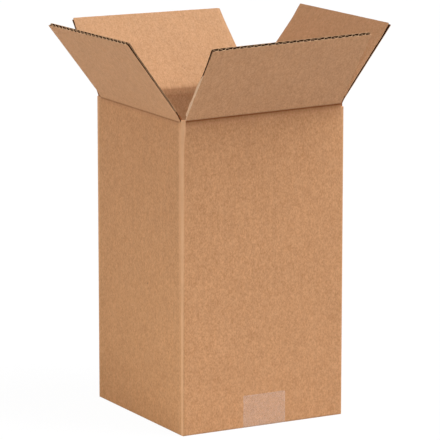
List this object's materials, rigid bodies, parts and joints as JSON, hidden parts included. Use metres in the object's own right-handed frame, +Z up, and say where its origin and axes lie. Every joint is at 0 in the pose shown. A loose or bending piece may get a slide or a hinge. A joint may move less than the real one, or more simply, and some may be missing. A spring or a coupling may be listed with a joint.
{
  "type": "open cardboard box",
  "caption": "Tall corrugated cardboard box with a square base, open at the top with its flaps leaning outwards, its bottom flaps folded in and closed with clear tape.",
  "frame": {"origin": "middle of the underside, on the table, on the axis of the four walls", "axes": "+Z up out of the open top, front wall with the tape end towards -Y, left wall towards -X"},
  "size_m": [0.2969, 0.2984, 0.398],
  "materials": {
    "kraft_board": "matt brown kraft paper with fine fibres and faint flute lines",
    "clear_tape": "clear packing film, slightly glossy"
  },
  "bodies": {
    "box": {"box_body": "kraft_board", "bottom_tape": "clear_tape"},
    "left_flap": {"flap_left": "kraft_board"},
    "right_flap": {"flap_right": "kraft_board"},
    "front_flap": {"flap_front": "kraft_board"},
    "back_flap": {"flap_back": "kraft_board"}
  },
  "joints": [
    {"name": "left_crease", "type": "hinge", "parent": "box", "child": "left_flap", "pos_m": [-0.0925, 0, 0.322], "axis": [0, -1, 0], "range_deg": [-126.9, 135]},
    {"name": "right_crease", "type": "hinge", "parent": "box", "child": "right_flap", "pos_m": [0.0925, 0, 0.322], "axis": [0, 1, 0], "range_deg": [-127.8, 134.1]},
    {"name": "front_crease", "type": "hinge", "parent": "box", "child": "front_flap", "pos_m": [0, -0.0925, 0.318], "axis": [1, 0, 0], "range_deg": [-125, 136.9]},
    {"name": "back_crease", "type": "hinge", "parent": "box", "child": "back_flap", "pos_m": [0, 0.0925, 0.318], "axis": [-1, 0, 0], "range_deg": [-131, 130.9]}
  ]
}
